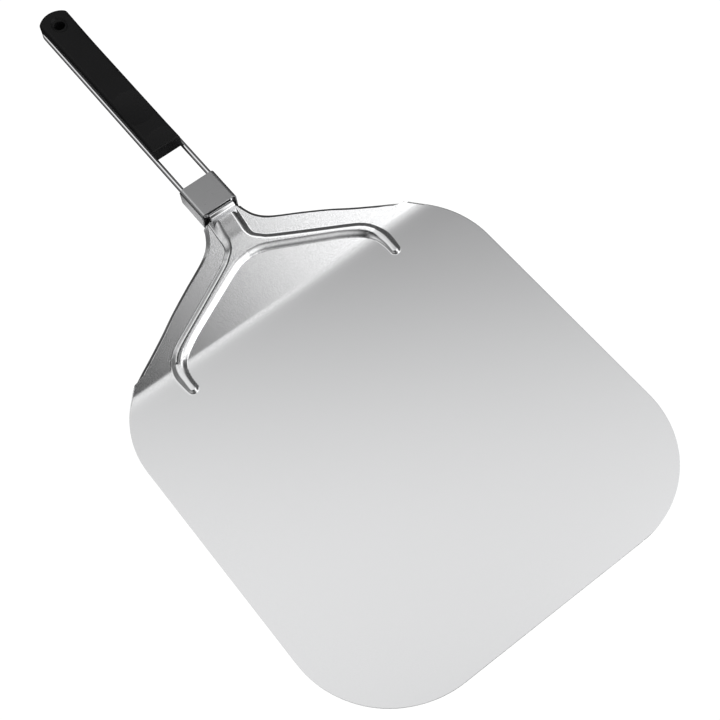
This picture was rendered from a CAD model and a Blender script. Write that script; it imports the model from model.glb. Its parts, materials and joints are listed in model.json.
# A shovel with a folding wire handle. The blade lies on the floor with its tip towards -Y,
# its neck and hinge towards +Y, and X across it. The blade's pressing and the tongue box
# over the hinge are modelled here; the handle, sleeve, grip and screws are CAD pieces.
import json
import math

import bmesh
import bpy
import numpy as np
from mathutils import Matrix, Vector


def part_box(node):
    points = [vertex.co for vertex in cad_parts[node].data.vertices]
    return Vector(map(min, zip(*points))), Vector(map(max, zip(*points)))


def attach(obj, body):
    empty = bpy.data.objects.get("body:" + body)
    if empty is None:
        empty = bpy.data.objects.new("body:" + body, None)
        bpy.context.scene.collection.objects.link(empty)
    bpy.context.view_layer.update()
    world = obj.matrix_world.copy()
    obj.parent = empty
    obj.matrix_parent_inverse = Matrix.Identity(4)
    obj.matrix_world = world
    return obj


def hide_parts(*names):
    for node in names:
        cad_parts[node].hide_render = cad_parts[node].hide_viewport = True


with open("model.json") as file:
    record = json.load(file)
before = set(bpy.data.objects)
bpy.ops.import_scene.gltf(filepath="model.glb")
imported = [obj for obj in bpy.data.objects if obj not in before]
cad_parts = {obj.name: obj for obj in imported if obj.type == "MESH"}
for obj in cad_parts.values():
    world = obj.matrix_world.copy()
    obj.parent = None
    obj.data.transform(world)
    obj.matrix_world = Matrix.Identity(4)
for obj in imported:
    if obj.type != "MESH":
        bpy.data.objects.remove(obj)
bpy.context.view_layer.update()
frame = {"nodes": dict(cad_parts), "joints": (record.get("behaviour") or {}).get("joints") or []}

MM = 0.001
blade_lo, blade_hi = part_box("blade")
hinge = {joint["name"]: joint for joint in frame["joints"]}["handle_fold"]["pos_m"]

# Sizes in millimetres: x from the centre line, y from the tip, z from the blade's underside.
TIP = blade_lo.y / MM                # the tip's place in the scene
HALF_WIDTH = (blade_hi.x - blade_lo.x) / 2 / MM
SHEET = 1.0                          # thickness
CORNER = 76.8                        # radius of the four corners in plan
FULL_LENGTH = 327.0                  # rounded rectangle that the flanks cut into
SHOULDER_Y = 310.0                   # from here the flanks may narrow the outline
NECK_END = 369.0

BEND_ANGLE = math.radians(29.2)      # the neck rises at this angle
BEND_Y = 306.0
BEND_RADIUS = 23.0                   # at the middle of the bend
BEND_SOFTNESS = 5.2                  # a larger value makes a tighter bend

HINGE_Y = hinge[1] / MM - TIP
HINGE_Z = hinge[2] / MM
TONGUE_TOP = blade_hi.z / MM

# Outline from the shoulder to the neck: (y, half width)
FLANK = [
    (311.2, 123.4), (316.0, 113.4), (320.0, 104.4), (328.0, 87.2),
    (336.0, 71.2), (344.0, 53.4), (352.0, 34.4), (356.0, 26.9),
    (360.0, 22.0), (364.0, 19.0), (368.0, 16.9), (NECK_END + 1.0, 16.6),
]

# The raised rib has a stem on the neck and an arm to each side. Its +X half: (x, y)
RIB_BACK = [  # the side towards the handle, from the stem to the arm's end
    (9.4, 372.4), (9.4, 367.4), (9.3, 357.0), (9.4, 352.0),
    (11.0, 347.8), (15.6, 344.2), (21.7, 340.6), (43.5, 331.2),
    (63.0, 323.0), (76.8, 317.2), (84.5, 313.4), (89.6, 309.2),
    (93.0, 304.0), (94.6, 298.0), (94.7, 291.0), (94.4, 283.4),
]
RIB_FRONT = [  # the side towards the tip, from the arm's end to the centre line
    (87.8, 283.4), (87.9, 291.0), (86.5, 299.0), (83.0, 305.0),
    (77.6, 309.4), (67.0, 314.8), (55.5, 319.5), (38.5, 326.2),
    (18.0, 334.2), (9.0, 337.0), (0.0, 337.9),
]
BACK_WALL = 3.5                      # widths of the rib's sloping walls in plan
FRONT_WALL = 2.2
RIB_REACH_X = 104                    # the rib is only worked out within these limits
RIB_REACH_Y = 272

# Rolled edge of the neck
ROLL_START = 309.6
ROLL_EASE = 3.4                      # length over which the roll grows to full size
FLAT_ROLL = 0.02                     # size of the roll where there is none to see
ROLL_IN = np.array([3.3, 3.1, 2.9, 2.7, 2.3, 1.65, 1.0, 0.42, 0.14, 0.0, 0.0])
ROLL_DOWN = np.array([0.0, 0.06, 0.21, 0.43, 0.92, 1.74, 2.56, 3.26, 3.55, 3.8, 3.9])

FLANGE_ROWS = 4                      # mesh lines down the edge below the roll
TOP_COLUMNS = 420                    # mesh lines across the upper face

BACKDROP = 1.05                      # brightness of floor and surroundings to the camera


# ---------------------------------------------------------------- curves
def catmull(points, steps):
    """Catmull-Rom curve through the points, with this many steps to a span."""
    points = np.array(points, float)
    points = np.vstack([2 * points[0] - points[1], points, 2 * points[-1] - points[-2]])
    t = np.linspace(0, 1, steps, endpoint=False)[:, None]
    spans = []
    for i in range(1, len(points) - 2):
        before, start, end, after = points[i - 1:i + 3]
        spans.append(0.5 * ((2 * start) + (end - before) * t
                            + (2 * before - 5 * start + 4 * end - after) * t ** 2
                            + (3 * start - before - 3 * end + after) * t ** 3))
    spans.append(points[-2][None, :])
    return np.vstack(spans)


def ease(values, start, length):
    """Smooth step from 0 at start to 1 at start + length."""
    t = np.clip((values - start) / length, 0, 1)
    return t * t * (3 - 2 * t)


def ramp(t, foot, top):
    """Straight ramp from 0 to 1 over t = -0.5 to 0.5, its foot and its top rounded."""
    def rounded_knee(v, soft):
        v = np.clip(v, -40.0, 1e9)
        return np.where(v > soft, v, np.where(v < -soft, 0.0, (v + soft) ** 2 / (4 * soft)))
    return rounded_knee(t + 0.5, foot) - rounded_knee(t - 0.5, top)


# ---------------------------------------------------------------- blade surface
def half_width(y):
    """Half width of the pressing at a distance y from the tip."""
    past_corner = np.maximum(np.maximum(CORNER - y, y - (FULL_LENGTH - CORNER)), 0)
    width = HALF_WIDTH - CORNER + np.sqrt(np.maximum(CORNER ** 2 - past_corner ** 2, 0))
    run = catmull(FLANK, 24)
    flank = np.interp(y, run[:, 0], run[:, 1])
    width = np.where(y > SHOULDER_Y, np.minimum(width, flank), width)
    return np.where(y > FLANK[0][0], flank, width)


def sheet_top(y):
    """Height of the sheet's upper face without rib or edge roll."""
    # The bend is tightest in the middle and has long soft ends.
    slope = math.tan(BEND_ANGLE)
    softness = slope * BEND_RADIUS / BEND_SOFTNESS
    return SHEET + slope * softness * np.logaddexp(0.0, (y - BEND_Y) / softness)


def rib_outline():
    """Closed outline along the middle of the rib's wall, and the wall's width at each point."""
    back = catmull(RIB_BACK, 14)
    (outer_x, end_y), inner_x = RIB_BACK[-1], RIB_FRONT[0][0]
    centre_x, radius = (outer_x + inner_x) / 2, (outer_x - inner_x) / 2
    arm_end = [(centre_x + radius * math.cos(a), end_y - radius * math.sin(a))
               for a in np.linspace(0.15, math.pi - 0.15, 12)]
    half = np.vstack([back, np.array(arm_end), catmull(RIB_FRONT, 14)])
    loop = np.vstack([half, (half * (-1, 1))[::-1][1:]])
    # The width changes gradually from back to front: a running mean over 25 points.
    wall = np.full(len(half), FRONT_WALL)
    wall[:len(back)] = BACK_WALL
    wall = np.convolve(np.pad(wall, 12, mode="edge"), np.ones(25) / 25, mode="valid")
    return loop, np.concatenate([wall, wall[::-1][1:]])


def rib_distance(x, y):
    """Signed distance to the middle of the rib's wall, positive on the rib,
    and the width of the nearest wall."""
    near = (np.abs(x) < RIB_REACH_X) & (y > RIB_REACH_Y)
    points = np.stack([x[near], y[near]], -1)
    nearest = np.full(len(points), 1e9)
    nearest_wall = np.full(len(points), FRONT_WALL)
    inside = np.zeros(len(points), bool)
    loop, loop_wall = rib_outline()
    for start, end, edge_wall in zip(loop, np.roll(loop, -1, 0), loop_wall):
        edge = end - start
        t = np.clip(((points - start) @ edge) / (edge ** 2).sum(), 0, 1)
        gap = ((points - (start + t[:, None] * edge)) ** 2).sum(1)
        nearest_wall = np.where(gap < nearest, edge_wall, nearest_wall)
        nearest = np.minimum(nearest, gap)
        # Even-odd rule: count the edges crossed by a line towards +X.
        spans = (start[1] > points[:, 1]) != (end[1] > points[:, 1])
        crossing_x = edge[0] * (points[:, 1] - start[1]) / (edge[1] + 1e-30) + start[0]
        inside ^= spans & (points[:, 0] < crossing_x)
    distance = np.full(x.shape, -1e9)
    wall = np.full(x.shape, FRONT_WALL)
    distance[near] = np.where(inside, np.sqrt(nearest), -np.sqrt(nearest))
    wall[near] = nearest_wall
    return distance, wall


def rib_height(x, y):
    """Height of the rib above the sheet, square to it."""
    distance, wall = rib_distance(x, y)
    arm = ease(y, 280.0, 24.0)       # 0 at the arms' ends, 1 further back
    height = 2.75 + 1.6 * ease(y, 341.0, 25.0) + 2.3 * ease(y, 350.0, 16.0)
    height = height * (0.60 + 0.40 * arm)
    # The walls get narrower towards the arms' ends, the front wall more than the back.
    back = np.clip((wall - FRONT_WALL) / (BACK_WALL - FRONT_WALL), 0, 1)
    end_share = 0.62 + 0.22 * back
    wall = (wall + 1.5 * ease(y, 343.0, 14.0)) * (end_share + (1 - end_share) * arm)
    distance = distance - 0.35 * (1 - arm)
    straight = ramp(distance / wall, foot=0.09, top=0.34)
    # The front wall is a bead: steep at its foot and rounded over.
    bead_width = 0.5 * wall + 2.6 * (0.62 + 0.38 * arm)
    t = np.clip((distance + 0.5 * wall) / bead_width, 0.0, 1.0)
    bead = (1 - (1 - t) ** 1.6) ** 0.625
    return height * (bead + (straight - bead) * back)


def blade_points():
    """Grid of points over the upper face and down both edges: one row for each y."""
    y = np.concatenate([
        CORNER * (1 - np.cos(np.linspace(0, math.pi / 2, 40)))[:-1],
        np.linspace(CORNER, 270.0, 50)[:-1],
        np.linspace(270.0, 308.0, 70)[:-1],
        np.linspace(308.0, NECK_END, 150),
    ])
    width = half_width(y)
    base = sheet_top(y)
    stretch = np.sqrt(1 + np.gradient(width, y) ** 2)  # the roll is square to the outline

    # Edge roll and the flange below it
    roll_on = ease(y, ROLL_START, ROLL_EASE)
    roll_in = FLAT_ROLL + (ROLL_IN[0] - FLAT_ROLL) * roll_on
    roll_down = FLAT_ROLL + (ROLL_DOWN[-1] - FLAT_ROLL) * roll_on
    inset = np.where(y > 309.0, np.minimum(roll_in * np.minimum(stretch, 2.8), width * 0.45),
                     0.03)
    depth = np.interp(y, [ROLL_START, ROLL_START + ROLL_EASE, NECK_END], [0.03, 4.0, 7.2])
    depth = np.maximum(depth, roll_down + 0.01)

    # Upper face
    top_x = np.linspace(-1, 1, TOP_COLUMNS)[None, :] * (width - inset)[:, None]
    top_y = np.repeat(y[:, None], TOP_COLUMNS, 1)
    tilt = np.where(top_y > BEND_Y, math.cos(BEND_ANGLE), 1.0)
    top_z = base[:, None] + rib_height(top_x, top_y) / tilt

    # The +X edge
    roll_x = width[:, None] - inset[:, None] * (ROLL_IN[1:] / ROLL_IN[0])[None, :]
    roll_z = base[:, None] - roll_down[:, None] * (ROLL_DOWN[1:] / ROLL_DOWN[-1])[None, :]
    share = np.linspace(0, 1, FLANGE_ROWS + 1)[1:]
    flange_x = np.repeat(width[:, None], FLANGE_ROWS, 1)
    flange_z = (base[:, None] - roll_down[:, None]
                - (depth - roll_down)[:, None] * share[None, :])
    edge_x = np.hstack([roll_x, flange_x])
    edge_z = np.hstack([roll_z, flange_z])

    all_x = np.hstack([-edge_x[:, ::-1], top_x, edge_x])
    all_z = np.hstack([edge_z[:, ::-1], top_z, edge_z])
    all_y = np.repeat(y[:, None], all_x.shape[1], 1)
    return np.stack([all_x, all_y + TIP, all_z], -1) * MM


# ---------------------------------------------------------------- blade pieces
def grid_faces(row_count, column_count):
    first = (np.arange(row_count - 1)[:, None] * column_count
             + np.arange(column_count - 1)[None, :])
    corners = [first, first + 1, first + 1 + column_count, first + column_count]
    return np.stack(corners, -1).reshape(-1, 4)


def smooth_object(name, mesh):
    """Object in the scene with all its faces shaded smooth."""
    piece = bpy.data.objects.new(name, mesh)
    bpy.context.scene.collection.objects.link(piece)
    mesh.polygons.foreach_set("use_smooth", [True] * len(mesh.polygons))
    return piece


def thicken(piece, name, thickness):
    """Give a surface its sheet thickness, on the side away from its normals."""
    solidify = piece.modifiers.new(name, "SOLIDIFY")
    solidify.thickness = thickness * MM
    solidify.offset = -1


def add_to_blade(piece):
    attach(piece, "blade_body")
    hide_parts("blade")


def blade_pressing():
    points = blade_points()
    mesh = bpy.data.meshes.new("blade_pressing")
    mesh.from_pydata(points.reshape(-1, 3).tolist(), [], grid_faces(*points.shape[:2]).tolist())
    mesh.validate()
    mesh.update()
    piece = smooth_object("blade_pressing", mesh)
    thicken(piece, "thickness", SHEET)
    return piece


def tongue_outline():
    """Outline of a cheek as (y, z), from the bottom of the front face up, over and
    round the tail, and the index of the point that starts the flat top."""
    front_y = 364.6
    lip_z = TONGUE_TOP - 0.25        # top of the rounded front step
    top_z = TONGUE_TOP - 1.15        # flat top behind it
    lip_radius = 2.2
    cheek_radius = 12.0
    tail_radius = 11.98

    points = [(front_y, HINGE_Z - cheek_radius), (front_y, lip_z - lip_radius)]
    for angle in np.linspace(0, math.radians(132), 14)[1:]:
        points.append((front_y + lip_radius - lip_radius * math.cos(angle),
                       lip_z - lip_radius + lip_radius * math.sin(angle)))
    step_y = points[-1][0]
    points += [(step_y + 0.35, top_z + 0.16), (step_y + 0.75, top_z + 0.03),
               (step_y + 1.3, top_z)]
    flat_start = len(points) - 1
    rise = top_z - HINGE_Z
    points.append((HINGE_Y + math.sqrt(cheek_radius ** 2 - rise * rise), top_z))
    for angle in np.linspace(math.asin(rise / cheek_radius), -math.pi / 2, 30)[1:]:
        points.append((HINGE_Y + tail_radius * math.cos(angle),
                       HINGE_Z + tail_radius * math.sin(angle)))
    return points, flat_start


def tongue_box():
    """Open channel: rounded front step, flat top, cheeks round about the hinge."""
    half = 9.5
    points, flat_start = tongue_outline()
    bm = bmesh.new()
    left, right = [[bm.verts.new((x * MM, (y + TIP) * MM, z * MM)) for y, z in points]
                   for x in (-half, half)]
    bm.faces.new(left[::-1])
    bm.faces.new(right)
    # The strip between the cheeks ends one face past the flat top; the rest is open.
    for i in range(flat_start + 2):
        bm.faces.new((left[i], left[i + 1], right[i + 1], right[i]))
    mesh = bpy.data.meshes.new("tongue_box")
    bm.normal_update()
    bm.to_mesh(mesh)
    bm.free()
    piece = smooth_object("tongue_box", mesh)
    thicken(piece, "wall", 1.2)
    bevel = piece.modifiers.new("edge", "BEVEL")
    bevel.width = 0.9 * MM
    bevel.segments = 4
    bevel.limit_method = "ANGLE"
    bevel.angle_limit = math.radians(50)
    return piece


blade = blade_pressing()
add_to_blade(blade)
tongue = tongue_box()
add_to_blade(tongue)


# ---------------------------------------------------------------- shader helpers
def put(tree, socket, value):
    """Link a socket into an input, or set the input to a plain value."""
    if isinstance(value, bpy.types.NodeSocket):
        tree.links.new(value, socket)
    else:
        socket.default_value = value


def node(tree, kind, **inputs):
    """New node; an underscore in an input's name stands for a space."""
    made = tree.nodes.new(kind)
    for name, value in inputs.items():
        put(tree, made.inputs[name.replace("_", " ")], value)
    return made


def calc(tree, operation, *values):
    made = node(tree, "ShaderNodeMath")
    made.operation = operation
    for i, value in enumerate(values):
        put(tree, made.inputs[i], value)
    return made.outputs[0]


def map_range(tree, value, span, to, smooth=False):
    made = tree.nodes.new("ShaderNodeMapRange")
    if smooth:
        made.interpolation_type = "SMOOTHSTEP"
    numbers = {"Value": value, "From Min": span[0], "From Max": span[1],
               "To Min": to[0], "To Max": to[1]}
    for name, number in numbers.items():
        put(tree, made.inputs[name], number)
    return made.outputs[0]


def noise(tree, coords, scale, detail, roughness):
    made = node(tree, "ShaderNodeTexNoise", Vector=coords, Scale=scale, Detail=detail,
                Roughness=roughness)
    return made.outputs["Fac"]


def mix_color(tree, factor, first, second, blend="MIX"):
    made = tree.nodes.new("ShaderNodeMix")
    made.data_type = "RGBA"
    made.blend_type = blend
    for i, value in ((0, factor), (6, first), (7, second)):
        put(tree, made.inputs[i], value)
    return made.outputs[2]


def mix_shader(tree, factor, first, second):
    made = tree.nodes.new("ShaderNodeMixShader")
    for i, value in enumerate((factor, first, second)):
        put(tree, made.inputs[i], value)
    return made.outputs[0]


def object_coords(tree):
    return node(tree, "ShaderNodeTexCoord").outputs["Object"]


def empty_tree(owner):
    owner.use_nodes = True
    owner.node_tree.nodes.clear()
    return owner.node_tree


def dress(piece, material):
    piece.data.materials.clear()
    piece.data.materials.append(material)


# ---------------------------------------------------------------- materials
def pebble_skin(tree, coords, tint, normal):
    """Stretched metal: a pebbled, unevenly glinting skin that starts at the bend."""
    strength = 0.55
    grain = noise(tree, coords, scale=1100.0, detail=3.0, roughness=0.6)
    place = node(tree, "ShaderNodeSeparateXYZ", Vector=coords)
    amount = map_range(tree, place.outputs["Y"], smooth=True,
                       span=((290.0 + TIP) * MM, (312.0 + TIP) * MM),
                       to=(0.12 * strength, strength))
    bump = node(tree, "ShaderNodeBump", Distance=0.00005, Strength=amount, Height=grain,
                Normal=normal)
    glint = map_range(tree, grain, span=(0.32, 0.68), to=(-0.20, 0.20))
    glint = calc(tree, "MULTIPLY_ADD", glint, amount, 1.0)
    return mix_color(tree, 1.0, tint, glint, blend="MULTIPLY"), bump.outputs[0]


def steel(name, color, roughness, grain_scale, grain_stretch, grain_bump,
          roughness_spread=0.05, pebbled=False):
    """Brushed or satin steel: stretched fine grain, broad marks and small specks."""
    tint_spread = 0.02
    speck_spread = 0.02
    material = bpy.data.materials.new(name)
    tree = empty_tree(material)
    coords = object_coords(tree)
    stretched = node(tree, "ShaderNodeMapping", Vector=coords, Scale=grain_stretch).outputs[0]
    fine = noise(tree, stretched, scale=grain_scale, detail=6.0, roughness=0.7)
    broad = noise(tree, coords, scale=14.0, detail=4.0, roughness=0.6)
    specks = noise(tree, coords, scale=2600.0, detail=3.0, roughness=0.7)

    darker, lighter = [(*[c * share for c in color], 1)
                       for share in (1 - tint_spread, 1 + tint_spread)]
    tint = mix_color(tree, broad, darker, lighter)
    speckle = map_range(tree, specks, span=(0.3, 0.7), to=(1 - speck_spread, 1 + speck_spread))
    tint = mix_color(tree, 1.0, tint, speckle, blend="MULTIPLY")

    mean = calc(tree, "MULTIPLY", calc(tree, "ADD", fine, broad), 0.5)
    rough = map_range(tree, mean, span=(0.3, 0.7),
                      to=(roughness - roughness_spread, roughness + roughness_spread))
    normal = node(tree, "ShaderNodeBump", Strength=grain_bump, Distance=0.0001,
                  Height=fine).outputs[0]
    if pebbled:
        tint, normal = pebble_skin(tree, coords, tint, normal)
    surface = node(tree, "ShaderNodeBsdfPrincipled", Base_Color=tint, Metallic=1.0,
                   Roughness=rough, Normal=normal)
    node(tree, "ShaderNodeOutputMaterial", Surface=surface.outputs[0])
    return material


def grip_plastic():
    """Matt black plastic with a fine grain."""
    material = bpy.data.materials.new("grip matt black plastic")
    tree = empty_tree(material)
    coords = object_coords(tree)
    grain = noise(tree, coords, scale=2400.0, detail=3.0, roughness=0.6)
    broad = noise(tree, coords, scale=40.0, detail=3.0, roughness=0.5)
    tint = mix_color(tree, broad, (0.006, 0.006, 0.0065, 1), (0.011, 0.011, 0.0115, 1))
    rough = map_range(tree, grain, span=(0.0, 1.0), to=(0.42, 0.60))
    bump = node(tree, "ShaderNodeBump", Strength=0.25, Distance=0.00008, Height=grain)
    surface = node(tree, "ShaderNodeBsdfPrincipled", Base_Color=tint, Roughness=rough,
                   Specular_IOR_Level=0.18, Normal=bump.outputs[0])
    node(tree, "ShaderNodeOutputMaterial", Surface=surface.outputs[0])
    return material


BLADE_COLOR = (0.66, 0.662, 0.668)
blade_steel = steel("blade satin steel", BLADE_COLOR, roughness=0.19, grain_scale=900.0,
                    grain_stretch=(1.0, 0.25, 1.0), grain_bump=0.03,
                    roughness_spread=0.02, pebbled=True)
tongue_steel = steel("tongue polished steel", BLADE_COLOR, roughness=0.20, grain_scale=900.0,
                     grain_stretch=(1.0, 0.3, 1.0), grain_bump=0.06)
wire_steel = steel("polished wire", (0.80, 0.80, 0.81), roughness=0.11, grain_scale=700.0,
                   grain_stretch=(1.0, 0.12, 1.0), grain_bump=0.03, roughness_spread=0.03)
sleeve_steel = steel("sleeve brushed steel", (0.47, 0.472, 0.478), roughness=0.30,
                     grain_scale=1100.0, grain_stretch=(0.15, 1.0, 1.0), grain_bump=0.10)
screw_steel = steel("screw steel", (0.55, 0.55, 0.56), roughness=0.3, grain_scale=900.0,
                    grain_stretch=(1.0, 1.0, 1.0), grain_bump=0.05)
plastic = grip_plastic()

dress(blade, blade_steel)
dress(tongue, tongue_steel)
for part, part_material in [("wire_handle", wire_steel), ("locking_sleeve", sleeve_steel),
                            ("grip_upper_half", plastic), ("grip_lower_half", plastic),
                            ("grip_screws", screw_steel)]:
    dress(frame["nodes"][part], part_material)


# ---------------------------------------------------------------- floor
def soft_area(tree, x, y, x_rise, x_fall, y_fall, y_rise):
    """1 inside a soft-edged rectangle and 0 outside; each edge is a span in metres."""
    up, down = (0.0, 1.0), (1.0, 0.0)
    across = calc(tree, "MULTIPLY", map_range(tree, x, x_rise, up, smooth=True),
                  map_range(tree, x, x_fall, down, smooth=True))
    along = calc(tree, "MULTIPLY", map_range(tree, y, y_fall, down, smooth=True),
                 map_range(tree, y, y_rise, up, smooth=True))
    return calc(tree, "MULTIPLY", across, along)


def floor_white():
    material = bpy.data.materials.new("floor white")
    tree = empty_tree(material)
    x, y, _ = node(tree, "ShaderNodeSeparateXYZ", Vector=object_coords(tree)).outputs

    # A small pale card by the neck, mostly on its -X side, on a dark floor
    card = soft_area(tree, x, y, x_rise=(-0.11, -0.06), x_fall=(-0.012, 0.008),
                     y_fall=(0.262, 0.290), y_rise=(0.16, 0.19))
    # A glowing area below the blade
    under = soft_area(tree, x, y, x_rise=(-0.155, -0.14), x_fall=(0.14, 0.155),
                      y_fall=(0.15, 0.19), y_rise=(-0.152, -0.14))
    gray = map_range(tree, card, span=(0.0, 1.0), to=(0.10, 0.92))
    color = node(tree, "ShaderNodeCombineColor", Red=gray, Green=gray, Blue=gray)
    card_glow = calc(tree, "MULTIPLY", card, 0.34)
    glow = calc(tree, "MULTIPLY_ADD", under, 0.75, card_glow)
    lit = node(tree, "ShaderNodeBsdfPrincipled", Base_Color=color.outputs[0], Roughness=1.0,
               Specular_IOR_Level=0.0, Emission_Color=(1, 1, 1, 1), Emission_Strength=glow)

    # The camera sees an even pale floor, and nothing of it from below.
    even = node(tree, "ShaderNodeEmission", Strength=BACKDROP)
    path = node(tree, "ShaderNodeLightPath")
    geometry = node(tree, "ShaderNodeNewGeometry")
    clear = node(tree, "ShaderNodeBsdfTransparent")
    above = mix_shader(tree, path.outputs["Is Camera Ray"], lit.outputs[0], even.outputs[0])
    surface = mix_shader(tree, geometry.outputs["Backfacing"], above, clear.outputs[0])
    node(tree, "ShaderNodeOutputMaterial", Surface=surface)
    return material


bpy.ops.mesh.primitive_plane_add(size=12, location=(0, 0, -0.0006))
floor = bpy.context.object
floor.name = "floor"
dress(floor, floor_white())


# ---------------------------------------------------------------- light
# Small soft lights: direction, sharpness, brightness
SOFT_LIGHTS = [
    ((0.0, -0.93, 0.36), 24.0, 0.75),
    ((0.52, -0.85, 0.08), 14.0, 3.2),
    ((-0.95, -0.15, 0.28), 12.0, 1.05),
    ((-0.60, -0.40, 0.70), 16.0, 0.30),
]


def add_soft_light(tree, incoming, light, direction, sharpness, brightness):
    """Adds brightness * exp(sharpness * (cos(angle) - 1)) about a direction."""
    dot = tree.nodes.new("ShaderNodeVectorMath")
    dot.operation = "DOT_PRODUCT"
    put(tree, dot.inputs[0], incoming)
    put(tree, dot.inputs[1], -Vector(direction).normalized())
    fall = calc(tree, "SUBTRACT", dot.outputs["Value"], 1.0)
    fall = calc(tree, "EXPONENT", calc(tree, "MULTIPLY", fall, sharpness))
    return calc(tree, "MULTIPLY_ADD", fall, brightness, light)


def large_cards(tree, incoming):
    """Two large soft-edged cards, drawn by the x and y of the unit direction."""
    def step(value, span, to=(0.0, 1.0)):
        return map_range(tree, value, span, to, smooth=True)

    def times(first, second):
        return calc(tree, "MULTIPLY", first, second)

    outward = tree.nodes.new("ShaderNodeVectorMath")
    outward.operation = "SCALE"
    put(tree, outward.inputs[0], incoming)
    outward.inputs["Scale"].default_value = -1.0
    x, y, _ = node(tree, "ShaderNodeSeparateXYZ", Vector=outward.outputs[0]).outputs

    # Overhead, falling off towards +X +Y and towards -X
    over = step(calc(tree, "ADD", y, times(x, 0.62)), span=(0.44, 0.80), to=(1.175, 0.09))
    over = times(over, step(x, span=(-0.66, -0.30), to=(0.14, 1.0)))
    over = times(over, step(y, span=(0.18, 0.42), to=(0.95, 1.0)))
    # On the +X side, with a soft edge that runs along Y
    side = step(x, span=(0.14, 0.31), to=(0.0, 1.76))
    side = times(side, step(x, span=(0.55, 0.80), to=(1.0, 0.05)))
    side = times(side, step(y, span=(-0.72, -0.56), to=(0.10, 1.0)))
    # The side card fills -Y and gives way to the overhead card towards +Y.
    blend = step(y, span=(0.04, 0.19))
    return calc(tree, "ADD", times(over, blend),
                times(side, calc(tree, "SUBTRACT", 1.0, blend)))


def studio_world():
    world = bpy.data.worlds.new("studio")
    tree = empty_tree(world)
    incoming = node(tree, "ShaderNodeNewGeometry").outputs["Incoming"]
    light = calc(tree, "ADD", large_cards(tree, incoming), 0.02)
    for direction, sharpness, brightness in SOFT_LIGHTS:
        light = add_soft_light(tree, incoming, light, direction, sharpness, brightness)
    # The camera sees an even pale backdrop.
    path = node(tree, "ShaderNodeLightPath")
    seen = tree.nodes.new("ShaderNodeMix")
    seen.data_type = "FLOAT"
    for i, value in ((0, path.outputs["Is Camera Ray"]), (2, light), (3, BACKDROP)):
        put(tree, seen.inputs[i], value)
    background = node(tree, "ShaderNodeBackground", Color=(1, 1, 1, 1),
                      Strength=seen.outputs[0])
    node(tree, "ShaderNodeOutputWorld", Surface=background.outputs[0])
    return world


scene = bpy.context.scene
scene.world = studio_world()

# ---------------------------------------------------------------- camera
# The camera's own axes in the scene; it looks against the last one.
CAMERA_RIGHT = (0.79044264, -0.60909607, -0.064826)
CAMERA_UP = (0.56079004, 0.67703029, 0.4765968)
CAMERA_BACK = (-0.24640407, -0.41307621, 0.87672862)

camera_data = bpy.data.cameras.new("camera")
camera_data.sensor_width = 36.0
camera_data.lens = 73.77555
camera_data.clip_start = 0.01
camera_data.clip_end = 50
camera = bpy.data.objects.new("camera", camera_data)
scene.collection.objects.link(camera)
turn = Matrix((CAMERA_RIGHT, CAMERA_UP, CAMERA_BACK)).transposed()
place = Vector((-0.24389, -0.20685 + TIP * MM, 0.91931 + SHEET * MM))
camera.matrix_world = Matrix.Translation(place) @ turn.to_4x4()
scene.camera = camera

scene.view_settings.view_transform = "Standard"
scene.view_settings.look = "None"
scene.view_settings.exposure = 0.0
scene.view_settings.gamma = 1.0
